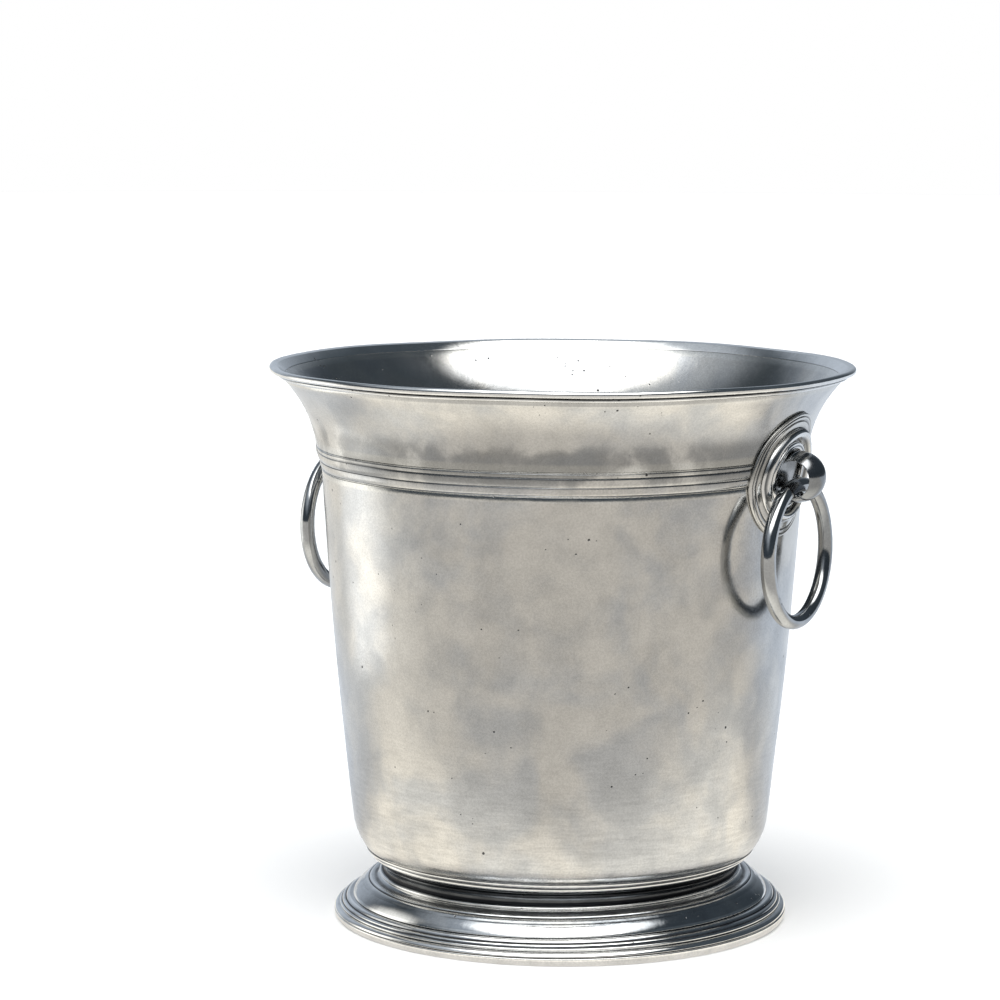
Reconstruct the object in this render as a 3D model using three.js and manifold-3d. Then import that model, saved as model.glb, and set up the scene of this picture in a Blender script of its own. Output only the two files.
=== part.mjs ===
// A pewter champagne bucket: a tapered bowl with a flared mouth, a reeded band over the seam between them,
// a moulded foot, and a loose ring handle hanging in an eye on each side.
// Millimetres, +Z up. The origin is the middle of the foot's underside. The handles are on +X and -X.
import * as THREE from 'three';
import { mergeVertices } from 'three/addons/utils/BufferGeometryUtils.js';
import Module from 'manifold-3d';

// ---- driving dimensions -------------------------------------------------------------------------
const RIM_RADIUS = 111;
const HEIGHT = 213;
const GAP = 0.3; // clearance kept between pieces that touch
const EDGE = 0.5; // how far a moulding's edge is eased

const WALL_TOP = { radius: 91.4, height: 173 };
const WALL_BELLY = { radius: 87.55, height: 106 };
const WALL_FOOT = { radius: 79.7, height: 39.2 };
const WALL_THICKNESS = 2.6;
const HEEL_RADIUS = 23;

const FLARE_START = { radius: 93.5, height: 182.3 };
const FLARE_BEND = { radius: 95.6, height: 197.5 };
const FLARE_END = { radius: 106.2, height: 208.3 };
const FLARE_THICKNESS = 2;
const LIP_RADIUS = 1.75; // the rounded edge of the rim
const LIP_UNDERCUT = { radius: 108.6, height: 210 };
const LIP_GROOVE = { radius: 107.2, height: 209.9 }; // the incised line under the lip
const LIP_RIDGE = { radius: 107.4, height: 209.1 };
const LIP_INNER = { radius: 107.9, height: 212.5 };

const SEAM_HEIGHT = 177.3; // where the bowl wall and the mouth meet, hidden by the band
const BAND_THICKNESS = 1.2;
const REED_PROUD = 0.4;
const GROOVE_HEIGHTS = [173.6, 176.6, 180.1, 181.7];

const NECK_INNER = 66;
const NECK_TOP_RADIUS = 72.4;
const NECK_BEAD = { drop: 1, reach: 0.1 }; // the thin bead that rings the neck under the heel
const NECK_HOLLOW = { drop: 1.6, reach: -0.8 };
const NECK_SAG = -0.7; // how far the neck's side curves in
const NECK_WAIST = { radius: 67.9, height: 18.9 };
const NECK_RIDGE = { radius: 70, height: 1.4 };
const NECK_BASE = 16.8;
const CREASE = { radius: 71.3, height: 13.6 };
const DOME_EDGE = { radius: 80.2, height: 8.9 };
const DOME_BULGE = 2.3;
const DOME_THICKNESS = 2.8;
const CAVETTO = { radius: 69.7, height: 14.85 }; // the hollow between the neck's ridge and the crease
const STEP_BASE = 5.1;
const STEP_RADIUS = 85.1;
const STEP_CREST = 1.3; // height of the step's widest line above its base
const STEP_SHOULDER = { inset: 1, drop: 0.8 };
const STEP_TOP_INSET = 2.8;
const BASE_RADIUS = 87.5;
const BASE_HEIGHT = 4.8;
const BASE_WIDEST = 2.4; // height of the base ring's widest line
const BASE_LOW = { inset: 0.4, height: 0.9 };
const BASE_HIGH = { inset: 0.6, drop: 0.7 };
const BASE_FLAT_INSET = 1.7;
const BASE_TOP_INSET = 2.2;
const BASE_HOLLOW = { inset: 2, height: 1.5 }; // chamfer inside the base ring
const FOOT_INNER = 77;

const HANDLE_HEIGHT = 176; // middle of each escutcheon
const PLATE_RADIUS = 23.3;
const PLATE_THICKNESS = 1;
const PLATE_BEVEL = 0.3;
const PLATE_STEPS = [0, 0.35, 0.65, 0.88, 1]; // shares of the radius where the plate bends with the wall
const BOSS = { inner: 12.9, outer: 17.9, height: 2.6, crest: 15.3 };
const BOSS_FOOT = 1; // height of the boss's upright side
const COLLAR = { inner: 9.9, outer: 12.6, height: 2, crest: 11.6 };
const STEM = { radius: 9.6, foot: 1, waist: 9, height: 5 };
const KNOB = { radius: 9.4, out: 99.3, height: 175.7 };
const EYE = { radius: 6.8, out: 98.8, height: 175.3 };
const RING = { radius: 25.4, wire: 3, out: 98.6, pivot: 172.5 };

const TURNS = 48; // facets round the bowl
const MOUNT_TURNS = 24; // facets round an escutcheon

// ---- colours ------------------------------------------------------------------------------------
const burnished = () => new THREE.MeshStandardMaterial({ color: 0xb4afa6, roughness: 0.34, metalness: 1 });
const polished = () => new THREE.MeshStandardMaterial({ color: 0x9a9c9e, roughness: 0.2, metalness: 1 });
const inside = () => new THREE.MeshStandardMaterial({ color: 0xc4c2bb, roughness: 0.28, metalness: 1 });

// ---- helpers ------------------------------------------------------------------------------------
const point = (radius, height) => new THREE.Vector2(radius, height);
const at = (corner) => point(corner.radius, corner.height);

const bucket = new THREE.Group();

function addMesh(name, geometry, material, parent = bucket) {
  const mesh = new THREE.Mesh(geometry, material);
  mesh.name = name;
  parent.add(mesh);
  return mesh;
}

function closed(section) {
  return [...section, section[0].clone()];
}

// Turns a closed section about the vertical axis. The section runs anticlockwise, from bottom to top outside.
function turned(section) {
  return new THREE.LatheGeometry(closed(section), TURNS).rotateX(Math.PI / 2);
}

// Points on a circular arc from a start angle to an end angle, in degrees from the outward direction.
function arc(centre, radius, from, to, steps) {
  const points = [];
  for (let i = 0; i <= steps; i += 1) {
    const angle = THREE.MathUtils.degToRad(from + ((to - from) * i) / steps);
    points.push(point(centre.x + radius * Math.cos(angle), centre.y + radius * Math.sin(angle)));
  }
  return points;
}

// Points on an arc from one corner up to another that bulges outward by the given rise.
function bulged(from, to, rise, steps) {
  const chord = to.clone().sub(from);
  const half = chord.length() / 2;
  const radius = (half * half + rise * rise) / (2 * Math.abs(rise));
  const outward = point(chord.y, -chord.x).normalize().multiplyScalar(Math.sign(rise));
  const middle = from.clone().add(to).multiplyScalar(0.5);
  const centre = middle.clone().addScaledVector(outward, Math.abs(rise) - radius);
  const swing = 2 * Math.asin(half / radius) * Math.sign(rise);
  const points = [];
  for (let i = 0; i <= steps; i += 1) {
    points.push(from.clone().rotateAround(centre, (swing * i) / steps));
  }
  return points;
}

// ---- bowl profile -------------------------------------------------------------------------------
const wallCurve = new THREE.QuadraticBezierCurve(at(WALL_TOP), at(WALL_BELLY), at(WALL_FOOT));
const flareCurve = new THREE.QuadraticBezierCurve(at(FLARE_START), at(FLARE_BEND), at(FLARE_END));

const heelTangent = at(WALL_FOOT).sub(at(WALL_BELLY)).normalize();
const heelCentre = at(WALL_FOOT).add(point(heelTangent.y, -heelTangent.x).multiplyScalar(HEEL_RADIUS));
const heelStart = -THREE.MathUtils.radToDeg(Math.atan2(-heelTangent.x, -heelTangent.y));

// Where a curve that only rises or only falls passes a height.
function radiusAt(curve, height) {
  const [a, b, c] = [curve.v0.y, curve.v1.y, curve.v2.y];
  const square = a - 2 * b + c;
  const linear = 2 * (b - a);
  const constant = a - height;
  const root = Math.sqrt(linear * linear - 4 * square * constant) * Math.sign(linear);
  const t = Math.abs(square) < 1e-9 ? -constant / linear : (-linear + root) / (2 * square);
  return curve.getPoint(t).x;
}

// Radius of the bowl's outer skin at a height: the wall, the band's ground and the flare.
function skin(height) {
  if (height <= WALL_TOP.height) {
    return radiusAt(wallCurve, height);
  }
  if (height >= FLARE_START.height) {
    return radiusAt(flareCurve, height);
  }
  return THREE.MathUtils.mapLinear(
    height, WALL_TOP.height, FLARE_START.height, WALL_TOP.radius, FLARE_START.radius,
  );
}

// The band's back and the rebate that it lies in.
const bandBack = (height) => skin(height) - BAND_THICKNESS;
const rebate = (height) => bandBack(height) - GAP;

// ---- bowl ---------------------------------------------------------------------------------------
const BAND_BOTTOM = WALL_TOP.height;
const BAND_TOP = FLARE_START.height;
const heelInnerRadius = HEEL_RADIUS - WALL_THICKNESS;

function bowlWall() {
  const outer = [...wallCurve.getPoints(5).slice(1, -1), ...arc(heelCentre, HEEL_RADIUS, heelStart, -90, 6)];
  const inner = arc(heelCentre, heelInnerRadius, -90, heelStart, 5);
  const innerWall = wallCurve.getPoints(4).slice(0, -1).reverse();
  for (const step of innerWall) {
    step.x -= WALL_THICKNESS;
  }
  const seam = SEAM_HEIGHT - GAP / 2;
  const top = [
    point(skin(SEAM_HEIGHT) - WALL_THICKNESS, seam),
    point(rebate(seam), seam),
    point(rebate(BAND_BOTTOM - GAP), BAND_BOTTOM - GAP),
    point(skin(BAND_BOTTOM - GAP), BAND_BOTTOM - GAP),
  ];
  return turned([...outer, ...inner, ...innerWall, ...top].reverse());
}

function bowlFloor() {
  const radius = heelCentre.x - GAP;
  const underside = heelCentre.y - HEEL_RADIUS;
  const topside = heelCentre.y - heelInnerRadius;
  return new THREE.CylinderGeometry(radius, radius, topside - underside, TURNS)
    .rotateX(Math.PI / 2)
    .rotateZ(Math.PI / 2)
    .translate(0, 0, (topside + underside) / 2);
}

// The flare's inner skin is its outer skin moved in by the thickness, square to the curve at the end.
const flareEndTangent = at(FLARE_END).sub(at(FLARE_BEND)).normalize();
const flareEndInward = point(-flareEndTangent.y, flareEndTangent.x);
const flareInnerEnd = at(FLARE_END).addScaledVector(flareEndInward, FLARE_THICKNESS);

function mouthFlare() {
  const outer = flareCurve.getPoints(6);
  const innerCurve = new THREE.QuadraticBezierCurve(
    flareInnerEnd,
    point(FLARE_BEND.radius - WALL_THICKNESS, FLARE_BEND.height),
    point(FLARE_START.radius - WALL_THICKNESS, FLARE_START.height),
  );
  const seam = SEAM_HEIGHT + GAP / 2;
  const foot = [
    point(skin(SEAM_HEIGHT) - WALL_THICKNESS, seam),
    point(rebate(seam), seam),
    point(rebate(BAND_TOP + GAP), BAND_TOP + GAP),
    point(skin(BAND_TOP + GAP), BAND_TOP + GAP),
  ];
  return turned([...foot, ...outer.slice(1), ...innerCurve.getPoints(5)]);
}

// The rim is a rounded lip with two incised lines under it.
function rimBead() {
  const seamShift = flareEndTangent.clone().multiplyScalar(GAP);
  const seamOuter = at(FLARE_END).add(seamShift);
  const seamInner = flareInnerEnd.clone().add(seamShift);
  const lipCentre = point(RIM_RADIUS - LIP_RADIUS, HEIGHT - LIP_RADIUS);
  return turned([
    seamOuter,
    at(LIP_RIDGE),
    at(LIP_GROOVE),
    at(LIP_UNDERCUT),
    ...arc(lipCentre, LIP_RADIUS, -50, 100, 5),
    at(LIP_INNER),
    seamInner,
  ]);
}

// The band's reeds are low ridges between grooves cut back to the skin.
function reededBand() {
  const outer = [];
  const edges = [BAND_BOTTOM, ...GROOVE_HEIGHTS, BAND_TOP];
  for (let i = 0; i < edges.length - 1; i += 1) {
    const middle = (edges[i] + edges[i + 1]) / 2;
    outer.push(point(skin(edges[i]), edges[i]));
    outer.push(point(skin(middle) + REED_PROUD, middle));
  }
  outer.push(point(skin(BAND_TOP), BAND_TOP));
  return turned([...outer, point(bandBack(BAND_TOP), BAND_TOP), point(bandBack(BAND_BOTTOM), BAND_BOTTOM)]);
}

// ---- foot ---------------------------------------------------------------------------------------
// The neck flares up to carry the heel, on a seat that follows the heel's curve.
function footNeck() {
  const seatRadius = HEEL_RADIUS + GAP;
  const seatAngle = (radius) => -THREE.MathUtils.radToDeg(Math.acos((radius - heelCentre.x) / seatRadius));
  const seat = arc(heelCentre, seatRadius, seatAngle(NECK_TOP_RADIUS), seatAngle(NECK_INNER), 3);
  const lip = seat[0];
  return turned([
    point(NECK_INNER, NECK_BASE),
    point(NECK_RIDGE.radius - EDGE, NECK_BASE),
    point(NECK_RIDGE.radius, NECK_BASE + NECK_RIDGE.height / 2),
    point(NECK_RIDGE.radius - EDGE, NECK_BASE + NECK_RIDGE.height),
    ...bulged(at(NECK_WAIST), point(lip.x + NECK_HOLLOW.reach, lip.y - NECK_HOLLOW.drop), NECK_SAG, 3),
    point(lip.x + NECK_BEAD.reach, lip.y - NECK_BEAD.drop),
    ...seat,
  ]);
}

// A hollow moulding: a cavetto under the neck, a crease, and a swelling dome out to its edge.
function footDome() {
  const top = NECK_BASE - GAP;
  const outer = [
    ...bulged(at(DOME_EDGE), at(CREASE), DOME_BULGE, 5),
    at(CAVETTO),
    point(NECK_RIDGE.radius - EDGE, top),
  ];
  const underside = CREASE.height - DOME_THICKNESS;
  return turned([
    ...outer,
    point(NECK_INNER, top),
    point(NECK_INNER, underside),
    point(CREASE.radius, underside),
    point(FOOT_INNER, DOME_EDGE.height),
  ]);
}

function footStep() {
  const top = DOME_EDGE.height - GAP;
  return turned([
    point(FOOT_INNER, STEP_BASE),
    point(STEP_RADIUS - EDGE, STEP_BASE),
    point(STEP_RADIUS, STEP_BASE + STEP_CREST),
    point(STEP_RADIUS - STEP_SHOULDER.inset, top - STEP_SHOULDER.drop),
    point(STEP_RADIUS - STEP_TOP_INSET, top),
    point(FOOT_INNER, top),
  ]);
}

function footBase() {
  return turned([
    point(FOOT_INNER + BASE_HOLLOW.inset, 0),
    point(BASE_RADIUS - BASE_FLAT_INSET, 0),
    point(BASE_RADIUS - BASE_LOW.inset, BASE_LOW.height),
    point(BASE_RADIUS, BASE_WIDEST),
    point(BASE_RADIUS - BASE_HIGH.inset, BASE_HEIGHT - BASE_HIGH.drop),
    point(BASE_RADIUS - BASE_TOP_INSET, BASE_HEIGHT),
    point(FOOT_INNER, BASE_HEIGHT),
    point(FOOT_INNER, BASE_HOLLOW.height),
  ]);
}

addMesh('bowl_wall', bowlWall(), burnished());
addMesh('bowl_floor', bowlFloor(), inside());
addMesh('mouth_flare', mouthFlare(), burnished());
addMesh('rim_bead', rimBead(), polished());
addMesh('reeded_band', reededBand(), burnished());
addMesh('foot_neck', footNeck(), polished());
addMesh('foot_dome', footDome(), polished());
addMesh('foot_step', footStep(), polished());
addMesh('foot_base', footBase(), polished());

// ---- handle mounts ------------------------------------------------------------------------------
const PLATE_BACK = 2 * REED_PROUD; // the plate's back clears the band's reeds
const PLATE_FACE = PLATE_BACK + PLATE_THICKNESS;
const MOULDING_BACK = PLATE_FACE + GAP;

// A disc or ring is turned flat, then laid on the bowl so that it follows the wall and the flare.
// Its section's height becomes the distance from the bowl's skin, and its plan wraps round the bowl.
function laidOnBowl(section) {
  const flat = new THREE.LatheGeometry(section, MOUNT_TURNS);
  const places = flat.attributes.position;
  for (let i = 0; i < places.count; i += 1) {
    const height = HANDLE_HEIGHT - places.getX(i);
    const out = skin(height) + places.getY(i);
    const angle = -places.getZ(i) / skin(height);
    places.setXYZ(i, out * Math.cos(angle), out * Math.sin(angle), height);
  }
  return flat;
}

function escutcheon() {
  const faceRadius = PLATE_RADIUS - PLATE_BEVEL;
  const back = PLATE_STEPS.map((share) => point(share * PLATE_RADIUS, PLATE_BACK));
  const face = PLATE_STEPS.map((share) => point(share * faceRadius, PLATE_FACE));
  return laidOnBowl([...back, ...face.reverse()]);
}

function boss() {
  const top = MOULDING_BACK + BOSS.height;
  return laidOnBowl(closed([
    point(BOSS.inner, MOULDING_BACK),
    point(BOSS.outer, MOULDING_BACK),
    point(BOSS.outer - EDGE, MOULDING_BACK + BOSS_FOOT),
    point((BOSS.outer + BOSS.crest) / 2, top - EDGE),
    point(BOSS.crest, top),
    point((BOSS.inner + BOSS.crest) / 2, top - EDGE),
  ]));
}

function collar() {
  const top = MOULDING_BACK + COLLAR.height;
  return laidOnBowl(closed([
    point(COLLAR.inner, MOULDING_BACK),
    point(COLLAR.outer, MOULDING_BACK),
    point(COLLAR.outer - EDGE / 2, top - EDGE),
    point(COLLAR.crest, top),
    point(COLLAR.inner, top - EDGE),
  ]));
}

// ---- eye knob: a ball on a short stem, with a wide hole through it for the ring ------------------
const wasm = await Module();
wasm.setup();

function solid(geometry) {
  const bare = geometry.clone();
  bare.deleteAttribute('normal');
  bare.deleteAttribute('uv');
  const merged = mergeVertices(bare, 1e-4);
  return new wasm.Manifold(new wasm.Mesh({
    numProp: 3,
    vertProperties: new Float32Array(merged.attributes.position.array),
    triVerts: new Uint32Array(merged.index.array),
  }));
}

function geometryOf(manifold) {
  const mesh = manifold.getMesh();
  const geometry = new THREE.BufferGeometry();
  geometry.setAttribute('position', new THREE.BufferAttribute(new Float32Array(mesh.vertProperties), 3));
  geometry.setIndex(new THREE.BufferAttribute(new Uint32Array(mesh.triVerts), 1));
  geometry.computeVertexNormals();
  return geometry;
}

function eyeKnob() {
  const stem = laidOnBowl([
    point(0, MOULDING_BACK),
    point(STEM.radius, MOULDING_BACK),
    point(STEM.radius, MOULDING_BACK + STEM.foot),
    point(STEM.waist, MOULDING_BACK + STEM.height),
    point(0, MOULDING_BACK + STEM.height),
  ]);
  const behind = laidOnBowl([
    point(0, MOULDING_BACK - KNOB.radius),
    point(STEM.radius, MOULDING_BACK - KNOB.radius),
    point(STEM.radius, MOULDING_BACK),
    point(0, MOULDING_BACK),
  ]);
  const ball = new THREE.SphereGeometry(KNOB.radius, 24, 14).translate(KNOB.out, 0, KNOB.height);
  const hole = new THREE.CylinderGeometry(EYE.radius, EYE.radius, 4 * KNOB.radius, 24)
    .translate(EYE.out, 0, EYE.height);
  const domed = solid(stem).add(solid(ball)).subtract(solid(behind));
  return geometryOf(domed.subtract(solid(hole)));
}

// ---- ring: hangs upright in the eye, its wire through the hole -----------------------------------
function handleRing() {
  return new THREE.TorusGeometry(RING.radius, RING.wire, 10, 36)
    .rotateZ(Math.PI / 2)
    .rotateY(Math.PI / 2)
    .translate(RING.out, 0, RING.pivot - RING.radius);
}

for (const side of ['right', 'left']) {
  const handle = new THREE.Group();
  handle.rotation.z = side === 'right' ? 0 : Math.PI;
  bucket.add(handle);
  addMesh(`${side}_escutcheon`, escutcheon(), burnished(), handle);
  addMesh(`${side}_boss`, boss(), polished(), handle);
  addMesh(`${side}_collar`, collar(), polished(), handle);
  addMesh(`${side}_eye_knob`, eyeKnob(), polished(), handle);
  addMesh(`${side}_ring`, handleRing(), polished(), handle);
}

export default bucket;
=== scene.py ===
# Looks for a pewter champagne bucket: turned and burnished metal with dark patina in its grooves,
# standing on a pale studio sweep. Shapes are in millimetres until they reach a mesh, which is in metres.
# +Z is up, and the handles are on +X and -X.
import math

import bmesh
import bpy
from mathutils import Matrix, Vector, noise


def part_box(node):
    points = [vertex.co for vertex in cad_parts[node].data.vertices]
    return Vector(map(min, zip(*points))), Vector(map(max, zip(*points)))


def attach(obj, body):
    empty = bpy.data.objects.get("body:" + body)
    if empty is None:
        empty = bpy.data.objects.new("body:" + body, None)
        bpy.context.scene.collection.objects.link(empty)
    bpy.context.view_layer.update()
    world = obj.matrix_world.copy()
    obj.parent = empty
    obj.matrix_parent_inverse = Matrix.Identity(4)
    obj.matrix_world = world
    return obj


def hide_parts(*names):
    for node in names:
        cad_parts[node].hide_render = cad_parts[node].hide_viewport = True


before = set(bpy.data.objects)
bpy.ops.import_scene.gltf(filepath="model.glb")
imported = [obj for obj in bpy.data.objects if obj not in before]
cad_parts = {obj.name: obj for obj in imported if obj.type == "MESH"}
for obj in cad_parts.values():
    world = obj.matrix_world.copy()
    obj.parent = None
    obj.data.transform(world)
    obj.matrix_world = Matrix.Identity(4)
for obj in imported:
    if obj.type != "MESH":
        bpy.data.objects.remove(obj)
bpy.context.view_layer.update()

MM = 0.001


# ---- where the CAD nodes are, in millimetres -----------------------------------------------------
def low(node):
    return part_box(node)[0] / MM


def high(node):
    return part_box(node)[1] / MM


HEIGHT = high("rim_bead").z
RIM_RADIUS = high("rim_bead").x
BAND_BASE = low("reeded_band").z
BAND_TOP = high("reeded_band").z
SEAM = (high("bowl_wall").z + low("mouth_flare").z) / 2
NECK_BASE = low("foot_neck").z
DOME_BASE = low("foot_dome").z
STEP_BASE = low("foot_step").z
BASE_RADIUS = high("foot_base").x
BASE_TOP = high("foot_base").z
HANDLE_HEIGHT = (low("right_escutcheon").z + high("right_escutcheon").z) / 2
PLATE_RADIUS = high("right_escutcheon").y

# ---- shapes that the boxes don't give, in millimetres --------------------------------------------
# Each corner is (radius, height).
WALL = ((91.4, BAND_BASE), (87.55, 106.0), (79.7, 39.2))
FLARE = ((93.5, BAND_TOP), (95.6, 197.5), (106.2, 208.3))
WALL_THICKNESS = 2.6
FLARE_THICKNESS = 2.0
HEEL_RADIUS = 23.0
SEAT_GAP = 0.06  # what is left between soldered pieces
BAND_DEPTH = 1.2

GROOVES = (173.6, 176.6, 180.1, 181.7)
REEDS_PROUD = (0.1, 0.18, 0.3, 0.1, 0.1)  # from the lowest reed up
GROOVE_SINK = 0.22
GROOVE_HALF = 0.2

KNOB_RADIUS = 9.4
KNOB_CENTRE = (99.3, 175.7)  # distance out and height
KNOB_VOXEL = 0.32
STEM_RADIUS = 9.6
EYE_RADIUS = 6.8
EYE_CENTRE = (98.8, 175.3)
PLATE_FACE = 1.8  # distance from the bowl's skin to the escutcheon's face
PLATE_BACK = 0.8
PLATE_LIP = 0.12  # distance from the bowl's skin to the escutcheon's turned-down edge
ENGRAVED = (20.3, 21.9)

TURN_SEGMENTS = 256
MOUNT_SEGMENTS = 96
SECTION_PITCH = 0.12
LONGEST_STEP = 3.5
SHARPEST_TURN = math.radians(7)
SHARP_EDGE = math.radians(50)
FEWEST_POINTS = 24
BROAD_ROUNDS = 60  # easing that leaves only the broad form, to tell hollows from ridges


# ---- sections ------------------------------------------------------------------------------------
def arc(centre, radius, start, end, steps=24):
    """Points on a circular arc, from one angle to another in degrees from the outward direction."""
    points = []
    for i in range(steps + 1):
        angle = math.radians(start + (end - start) * i / steps)
        points.append(Vector((centre[0] + radius * math.cos(angle), centre[1] + radius * math.sin(angle))))
    return points


def bezier(curve, steps=40):
    """Points on a quadratic curve through its two ends, drawn towards its middle corner."""
    a, b, c = (Vector(corner) for corner in curve)
    points = []
    for i in range(steps + 1):
        t = i / steps
        points.append(a * (1 - t) ** 2 + b * (2 * t * (1 - t)) + c * t * t)
    return points


def radius_at(curve, height):
    """Where a quadratic curve that only rises or only falls passes a height."""
    a, b, c = (corner[1] for corner in curve)
    square, linear, constant = a - 2 * b + c, 2 * (b - a), a - height
    if abs(square) < 1e-6:
        t = -constant / linear
    else:
        root = math.sqrt(max(linear * linear - 4 * square * constant, 0.0))
        t = (-linear + math.copysign(root, linear)) / (2 * square)
    return curve[0][0] * (1 - t) ** 2 + curve[1][0] * 2 * t * (1 - t) + curve[2][0] * t * t


def skin(height):
    """Radius of the bowl's outside at a height, without the band's reeds."""
    if height <= BAND_BASE:
        return radius_at(WALL, height)
    if height >= BAND_TOP:
        return radius_at(FLARE, height)
    share = (height - BAND_BASE) / (BAND_TOP - BAND_BASE)
    return WALL[0][0] + (FLARE[0][0] - WALL[0][0]) * share


def swell(start, end, rise, steps=12):
    """Points from start up to just before end, on an arc that stands out to the right by rise."""
    start, end = Vector(start), Vector(end)
    along = end - start
    right = Vector((along.y, -along.x)).normalized()
    points = []
    for i in range(steps):
        t = i / steps
        points.append(start + along * t + right * (rise * 4 * t * (1 - t)))
    return points


def resampled(points, pitch):
    """The closed section again, with points an even distance apart."""
    loop = points + points[:1]
    lengths = [(b - a).length for a, b in zip(loop, loop[1:])]
    total = sum(lengths)
    count = max(FEWEST_POINTS, round(total / pitch))
    out, side, passed = [], 0, 0.0
    for i in range(count):
        target = total * i / count
        while passed + lengths[side] < target:
            passed += lengths[side]
            side += 1
        share = (target - passed) / max(lengths[side], 1e-9)
        out.append(loop[side].lerp(loop[side + 1], share))
    return out


def relaxed(points, rounds):
    """The closed section with its corners eased."""
    for _ in range(rounds):
        points = [
            points[i - 1] * 0.25 + points[i] * 0.5 + points[(i + 1) % len(points)] * 0.25
            for i in range(len(points))
        ]
    return points


def finished_section(points, softness):
    """Rings for a turned piece: (radius, height, distance along the section, how hollow it is, in mm)."""
    fine = resampled(points, SECTION_PITCH)
    soft = relaxed(fine, max(1, round(2 * (softness / SECTION_PITCH) ** 2)))
    broad = relaxed(soft, BROAD_ROUNDS)
    rings, turned_by, gone, along = [], 0.0, LONGEST_STEP, 0.0
    for i, point in enumerate(soft):
        before, after = point - soft[i - 1], soft[(i + 1) % len(soft)] - point
        turned_by += abs(before.angle_signed(after, 0.0))
        gone += before.length
        along += before.length
        if turned_by >= SHARPEST_TURN or gone >= LONGEST_STEP:
            outward = Vector(((before + after).y, -(before + after).x)).normalized()
            rings.append((point.x, point.y, along, (broad[i] - point).dot(outward)))
            turned_by, gone = 0.0, 0.0
    return rings


# ---- meshes --------------------------------------------------------------------------------------
OUT_OF_ROUND = 0.35
DENT_DEPTH = 0.22
DENT_SIZE = 0.042
RIM_RIPPLE = 0.12
LEAN = 0.014  # how far out of true the foot is soldered on
LEAN_TOWARDS = math.radians(207.9)
LEAN_RISE = 8  # the lean grows from nothing at the floor over this height, in millimetres
LEAN_TOP = 30  # it has gone again by this height
LEAN_FADE = 12  # and fades over this much


def handmade(place):
    """Where a point of the turned bucket lies once the metal's slight unevenness is in it. Metres."""
    angle = math.atan2(place.y, place.x)
    rise = place.z / (HEIGHT * MM)
    oval = OUT_OF_ROUND * rise * (math.sin(2 * angle + 0.7) + 0.5 * math.sin(3 * angle + 2.1))
    dents = DENT_DEPTH * noise.noise(place / DENT_SIZE) * min(1.0, rise * 3)
    ripple = RIM_RIPPLE * rise ** 6 * (math.sin(4 * angle + 1.0) + math.sin(9 * angle + 0.4))
    outward = Vector((math.cos(angle), math.sin(angle), 0))
    height = place.z / MM
    leaning = min(height / LEAN_RISE, max(0.0, (LEAN_TOP - height) / LEAN_FADE), 1.0)
    sunk = LEAN * leaning * Vector((place.x, place.y)).length * math.cos(angle - LEAN_TOWARDS)
    return place + outward * ((oval + dents) * MM) + Vector((0, 0, ripple * MM - sunk))


def piece(name, mesh, body, slot, node, age_and_shade=0.0):
    """A finished mesh becomes a piece that rides on a body and stands for a CAD node.

    The darkening setting is how darkened its metal is, from 0 to 1: by ageing, and on the foot's neck partly
    by painted shade.
    """
    mesh.name = name
    mesh.attributes.new("age_and_shade", "FLOAT", "POINT").data.foreach_set("value", [age_and_shade] * len(mesh.vertices))
    mesh.shade_smooth()
    mesh.set_sharp_from_angle(angle=SHARP_EDGE)
    made = bpy.data.objects.new(name, mesh)
    bpy.context.scene.collection.objects.link(made)
    made.data.materials.append(MATERIALS[slot])
    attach(made, body)
    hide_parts(node)
    return made


def ring_points(rings, segments, place, turning_radius):
    """Each ring's points in metres, where they are on the turned surface, and how hollow it is there.

    place maps (radius, height, angle) to metres.
    """
    verts, turning, hollow = [], [], []
    for radius, height, along, depth in rings:
        for j in range(segments):
            angle = math.tau * j / segments
            verts.append(place(radius, height, angle))
            turning.append((
                turning_radius * MM * math.cos(angle), turning_radius * MM * math.sin(angle), along * MM,
            ))
            hollow.append(depth)
    return verts, turning, hollow


def strip(first, second, segments):
    """Faces between two rings of points, which are counted from 0."""
    a, b = first * segments, second * segments
    return [(a + j, a + (j + 1) % segments, b + (j + 1) % segments, b + j) for j in range(segments)]


def noted_mesh(name, verts, faces, turning, hollow=None):
    """A mesh that carries what the materials need to know at each point."""
    mesh = bpy.data.meshes.new(name)
    mesh.from_pydata(verts, [], faces)
    mesh.attributes.new("turning", "FLOAT_VECTOR", "POINT").data.foreach_set(
        "vector", [value for item in turning for value in item])
    if hollow:
        mesh.attributes.new("hollow", "FLOAT", "POINT").data.foreach_set("value", hollow)
    return mesh


def revolved(rings, segments, place, turning_radius):
    """A closed mesh from a closed section turned about an axis."""
    verts, turning, hollow = ring_points(rings, segments, place, turning_radius)
    faces = []
    for i in range(len(rings)):
        faces += strip(i, (i + 1) % len(rings), segments)
    return noted_mesh("revolved", verts, faces, turning, hollow)


def on_axis(radius, height, angle):
    return handmade(Vector((radius * math.cos(angle), radius * math.sin(angle), height)) * MM)


def turned(name, points, slot, node, softness=0.12, age_and_shade=0.0):
    """A piece turned about the bucket's axis from a closed section.

    The section runs anticlockwise, seen with the axis on its left.
    """
    rings = finished_section(points, softness)
    return piece(name, revolved(rings, TURN_SEGMENTS, on_axis, 90), "bucket", slot, node, age_and_shade)


# ---- materials -----------------------------------------------------------------------------------
def add(tree, kind, inputs=None, **settings):
    """Adds a shader node. Each input is set to a value or linked from a socket."""
    node = tree.nodes.new(kind)
    for key, value in settings.items():
        setattr(node, key, value)
    for key, value in (inputs or {}).items():
        if isinstance(value, bpy.types.NodeSocket):
            tree.links.new(value, node.inputs[key])
        else:
            node.inputs[key].default_value = value
    return node


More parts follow.
